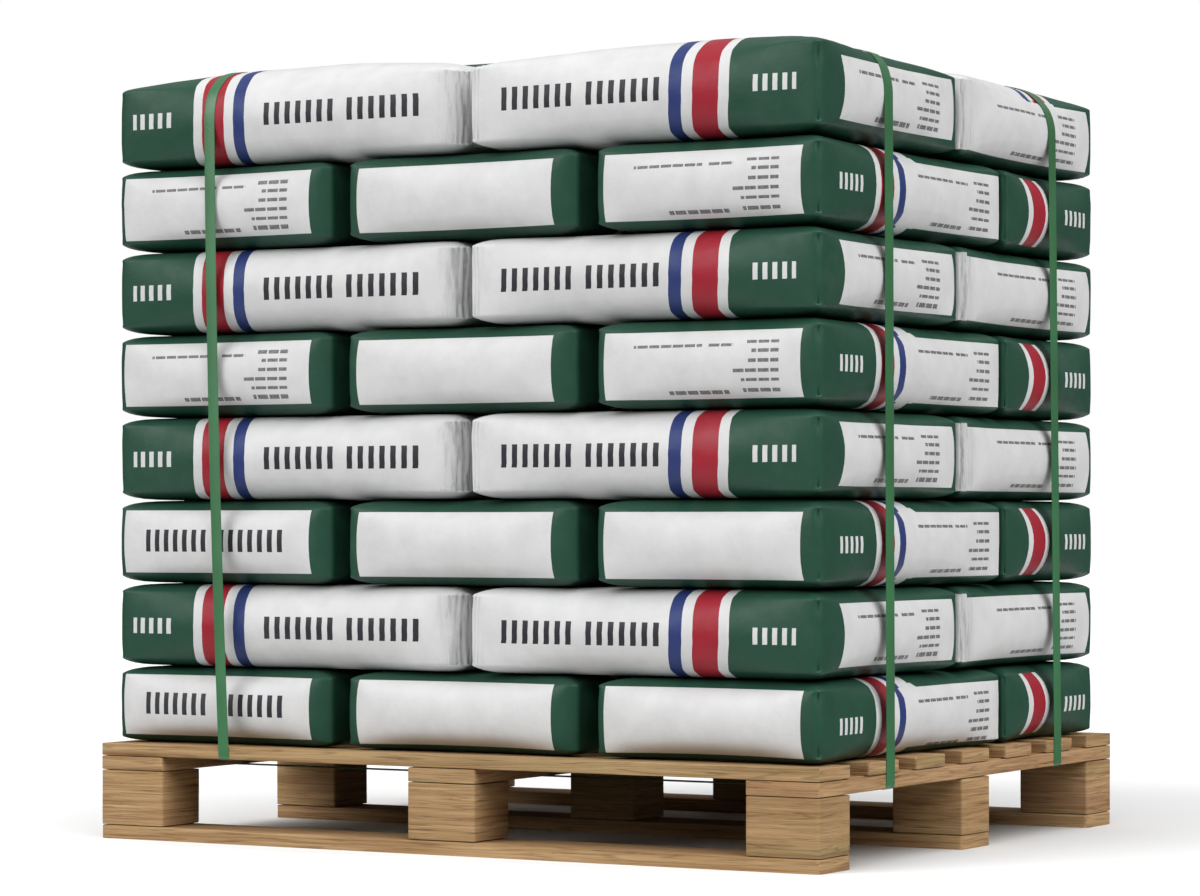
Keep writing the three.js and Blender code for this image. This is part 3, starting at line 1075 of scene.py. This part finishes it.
def even_path(outline):
    """A closed outline with rounded corners and even steps."""
    points = np.array(outline)

    def bend_start(point, other):
        way = other - point
        length = np.linalg.norm(way)
        return point + way / length * min(STRAP_BEND_RADIUS, 0.45 * length)

    rounded = []
    for i, point in enumerate(points):
        start = bend_start(point, points[i - 1])
        end = bend_start(point, points[(i + 1) % len(points)])
        for t in np.linspace(0, 1, 5):
            rounded.append((1 - t) ** 2 * start + 2 * t * (1 - t) * point + t ** 2 * end)
    path = []
    for point, following in zip(rounded, rounded[1:] + rounded[:1]):
        count = max(1, int(np.linalg.norm(following - point) // STRAP_STEP))
        path.extend(point + (following - point) * t for t in np.arange(count) / count)
    return np.array(path)


def build_strap(node, material, outline, to_place, width):
    """A band round a closed outline. to_place turns (across, up, sideways) into a place."""
    path = even_path(outline)
    tangent = np.roll(path, -1, axis=0) - np.roll(path, 1, axis=0)
    tangent /= np.linalg.norm(tangent, axis=1)[:, None]
    outward = np.stack([tangent[:, 1], -tangent[:, 0]], axis=1)
    half = width / 2
    inset, fall = STRAP_EDGE
    inner = [(-half, fall), (-half + inset, 0), (half - inset, 0), (half, fall)]
    outer = [(side, STRAP_THICKNESS - depth) for side, depth in reversed(inner)]
    section = inner + outer
    vertices = []
    for point, out in zip(path, outward):
        for side, depth in section:
            across, up = point + out * (depth + STRAP_CLEARANCE)
            vertices.append(to_place(across, up, side))
    faces = []
    uvs = []
    count, ring = len(path), len(section)
    for i in range(count):
        for j in range(ring):
            corners = [(i, j), (i, j + 1), (i + 1, j + 1), (i + 1, j)]
            faces.append([a % count * ring + b % ring for a, b in corners])
            uvs.extend(corners)
    mesh = bpy.data.meshes.new(node + "_band")
    mesh.from_pydata((np.array(vertices) * MM).tolist(), [], faces)
    mesh.uv_layers.new(name="band").data.foreach_set("uv", np.array(uvs, float).ravel())
    bm = bmesh.new()
    bm.from_mesh(mesh)
    bmesh.ops.recalc_face_normals(bm, faces=bm.faces)
    bm.to_mesh(mesh)
    bm.free()
    mesh.materials.append(material)
    mesh.shade_smooth()
    mesh.set_sharp_from_angle(angle=STRAP_SHARP_ANGLE)
    piece = new_object(node + "_band", mesh)
    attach(piece, "root")
    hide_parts(node)


def stack_section(pieces, axis, place, lean, width):
    """Points of the sacks near a leaning plane, as (across, up)."""
    found = []
    for piece in pieces:
        places = vertex_numbers(piece.data, "co") / MM
        near = np.abs(places[:, axis] - place - lean * places[:, 2]) < width * STRAP_REACH_SHARE
        found.append(places[near][:, [1 - axis, 2]])
    return np.concatenate(found)


def build_straps(pieces):
    """Bands round the sacks and the boards under them. The leaning one passes over the other two."""
    material = strap_material()
    deck_low, deck_high = (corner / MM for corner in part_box("deck_board_1"))
    stringer_low, stringer_high = (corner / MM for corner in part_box("stringer_board_left"))
    deck_top = deck_high.z
    stack_top = layer_heights(LAYER_COUNT)[1]

    def leaning(top, deck):
        """How far a strap shifts for each millimetre up, and its place at the floor."""
        lean = (top - deck) / (stack_top - deck_top)
        return lean, top - lean * stack_top

    for node, (top_y, deck_y) in ACROSS_STRAPS.items():
        lean, start = leaning(top_y, deck_y)
        section = stack_section(pieces, 1, start, lean, ACROSS_STRAP_WIDTH)
        levels = (stringer_low.z, deck_top)
        corners = [(side * deck_high.x, level) for side in (-1, 1) for level in levels]
        outline = convex_outline([*section, *corners])

        def across_place(across, up, side, start=start, lean=lean):
            return across, start + lean * up + side, up

        build_strap(node, material, outline, across_place, ACROSS_STRAP_WIDTH)

    lean, start = leaning(*LEANING_STRAP_X)
    section = stack_section(pieces, 0, start, lean, STRAP_WIDTH)
    tops = [top_y for top_y, _ in ACROSS_STRAPS.values()]
    crossings = [np.abs(section[:, 0] - top_y) < ACROSS_STRAP_WIDTH for top_y in tops]
    crossed = np.any(crossings, axis=0) & (section[:, 1] > stack_top - RIM["corner"])
    raised = section + np.array([0, CROSSING_LIFT]) * crossed[:, None]
    levels = (deck_low.z, deck_top)
    corners = [(side * stringer_high.y, level) for side in (-1, 1) for level in levels]

    def leaning_place(across, up, side):
        share = min(1, max(0, (up - deck_top) / (stack_top - deck_top)))
        return start + lean * up - LEANING_STRAP_BOW * 4 * share * (1 - share) + side, across, up

    outline = convex_outline([*raised, *corners])
    build_strap("strap_front_to_back", material, outline, leaning_place, STRAP_WIDTH)


def floor_piece(name, size, height, material):
    bpy.ops.mesh.primitive_plane_add(size=1, location=(0, 0, height))
    floor = bpy.context.object
    floor.name = name
    floor.scale = (*size, 1)
    floor.data.materials.append(material)
    return floor


def build_floors():
    """A wide pale floor that the object doesn't mirror or take light from, and one under the pallet."""
    values = {"Base Color": linear("eeeeee"), "Roughness": 0.8, "Specular IOR Level": 0.1}
    material = Shader("stage_floor").finish(values)
    floor = floor_piece("stage_floor", FLOOR_SIZE, 0, material)
    floor.visible_diffuse = False
    floor.visible_glossy = False
    return floor, floor_piece("stage_floor_under_pallet", UNDERLAY_SIZE, UNDERLAY_LIFT * MM, material)


def build_world():
    """Ambient light by the height of its direction, and a white backdrop for the camera."""
    shader = Shader("studio", "worlds", "Background")
    bpy.context.scene.world = shader.owner
    direction = shader.add("ShaderNodeTexCoord").outputs["Generated"]
    split = shader.add("ShaderNodeSeparateXYZ", {0: direction})
    ramp = shader.add("ShaderNodeValToRGB", {0: shader.ramp(split.outputs["Z"], -1, 1)})
    stops = ramp.color_ramp.elements
    for level, strength in AMBIENT:
        known = {-1: stops[0], 1: stops[-1]}
        stop = known[level] if level in known else stops.new((level + 1) / 2)
        stop.color = (strength, strength, strength, 1)
    shader.finish({"Color": ramp.outputs["Color"]})
    backdrop = shader.add("ShaderNodeBackground", {"Color": (1, 1, 1, 1)})
    seen = shader.add("ShaderNodeLightPath").outputs["Is Camera Ray"]
    values = {0: seen, 1: shader.surface.outputs[0], 2: backdrop.outputs[0]}
    choice = shader.add("ShaderNodeMixShader", values)
    shader.set(shader.nodes["World Output"].inputs["Surface"], choice.outputs[0])


def broad_light(name, source, strength, spread):
    data = bpy.data.lights.new(name, "SUN")
    data.energy = strength
    data.angle = spread
    light = new_object(name, data)
    light.rotation_mode = "QUATERNION"
    light.rotation_quaternion = (-Vector(source)).to_track_quat("-Z", "Y")
    return light


def link_to_floors(light, floors, state):
    """Make a light fall on the floors alone (INCLUDE), or on all but the floors (EXCLUDE)."""
    receivers = bpy.data.collections.new(f"{light.name}_receivers")
    for floor in floors:
        receivers.objects.link(floor)
    for member in receivers.collection_objects:
        member.light_linking.link_state = state
    light.light_linking.receiver_collection = receivers


def build_lights(floors):
    """Broad soft lights like large studio panels: front left, right, and one above for the floor.

    The right one casts no shadow on the floor, because the photograph shows none at the left."""
    broad_light("key_light", *KEY)
    link_to_floors(broad_light("fill_light", *FILL), floors, "EXCLUDE")
    link_to_floors(broad_light("floor_light", *FLOOR_LIGHT), floors, "INCLUDE")


def build_camera():
    data = bpy.data.cameras.new("camera")
    data.sensor_width = SENSOR_WIDTH
    data.lens = FOCAL_PIXELS / IMAGE_WIDTH * SENSOR_WIDTH
    data.shift_y = (HORIZON_CENTRE_ROW - IMAGE_HEIGHT / 2) / IMAGE_WIDTH
    camera = new_object("camera", data)
    camera.location = CAMERA_PLACE
    camera.rotation_euler = (math.pi / 2 + CAMERA_PITCH, 0, CAMERA_YAW)
    bpy.context.scene.camera = camera


build_camera()
floors = build_floors()
build_world()
build_lights(floors)
bpy.context.scene.view_settings.view_transform = "Standard"
sacks = build_sacks()
build_pallet()
build_straps(sacks)
